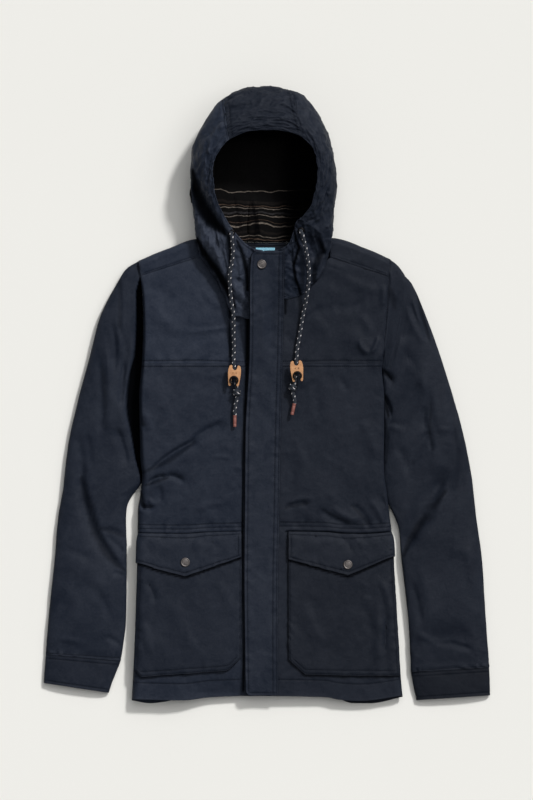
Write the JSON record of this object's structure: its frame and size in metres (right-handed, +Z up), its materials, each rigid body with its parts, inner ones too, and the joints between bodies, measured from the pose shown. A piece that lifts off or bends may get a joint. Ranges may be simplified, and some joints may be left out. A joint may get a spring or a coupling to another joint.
{
  "type": "waxed cotton jacket",
  "caption": "Hooded waxed cotton jacket laid flat, with a buttoned storm flap, flapped patch pockets, cuffs and a drawcord with leather toggles at the hood.",
  "frame": {"origin": "centre of the jacket's outline on the surface that it lies on", "axes": "+X to the wearer's left, +Y towards the hood, +Z up from the surface"},
  "size_m": [0.7228, 0.998, 0.0991],
  "materials": {
    "wax_cotton": "waxed navy cotton with a low sheen",
    "wax_cotton_trim": "waxed navy cotton, turned double",
    "striped_lining": "black woven lining with fine tan, cream and grey stripes",
    "blue_tape": "plain sky-blue woven tape",
    "stud_metal": "dull gunmetal",
    "cord_braid": "navy braid with pale flecks",
    "tan_leather": "smooth tan leather",
    "cord_ferrule": "copper-brown sleeve"
  },
  "bodies": {
    "root": {"back_panel": "wax_cotton", "front_right_upper": "wax_cotton", "front_right_lower": "wax_cotton", "front_left_upper": "wax_cotton", "front_left_lower": "wax_cotton", "sleeve_right": "wax_cotton", "sleeve_left": "wax_cotton", "cuff_right": "wax_cotton", "cuff_left": "wax_cotton", "hood_centre": "wax_cotton", "hood_side_right": "wax_cotton", "hood_side_left": "wax_cotton", "pocket_right": "wax_cotton", "pocket_left": "wax_cotton", "placket": "wax_cotton_trim", "pocket_flap_right": "wax_cotton_trim", "pocket_flap_left": "wax_cotton_trim", "neck_facing": "wax_cotton_trim", "hood_lining": "striped_lining", "label": "blue_tape", "drawcord_right": "cord_braid", "knot_right": "cord_braid", "toggle_right": "tan_leather", "ring_right": "stud_metal", "eyelet_right": "stud_metal", "cord_tip_right": "cord_ferrule", "drawcord_left": "cord_braid", "knot_left": "cord_braid", "toggle_left": "tan_leather", "ring_left": "stud_metal", "eyelet_left": "stud_metal", "cord_tip_left": "cord_ferrule", "snap_placket": "stud_metal", "snap_flap_right": "stud_metal", "snap_flap_left": "stud_metal"}
  },
  "joints": []
}
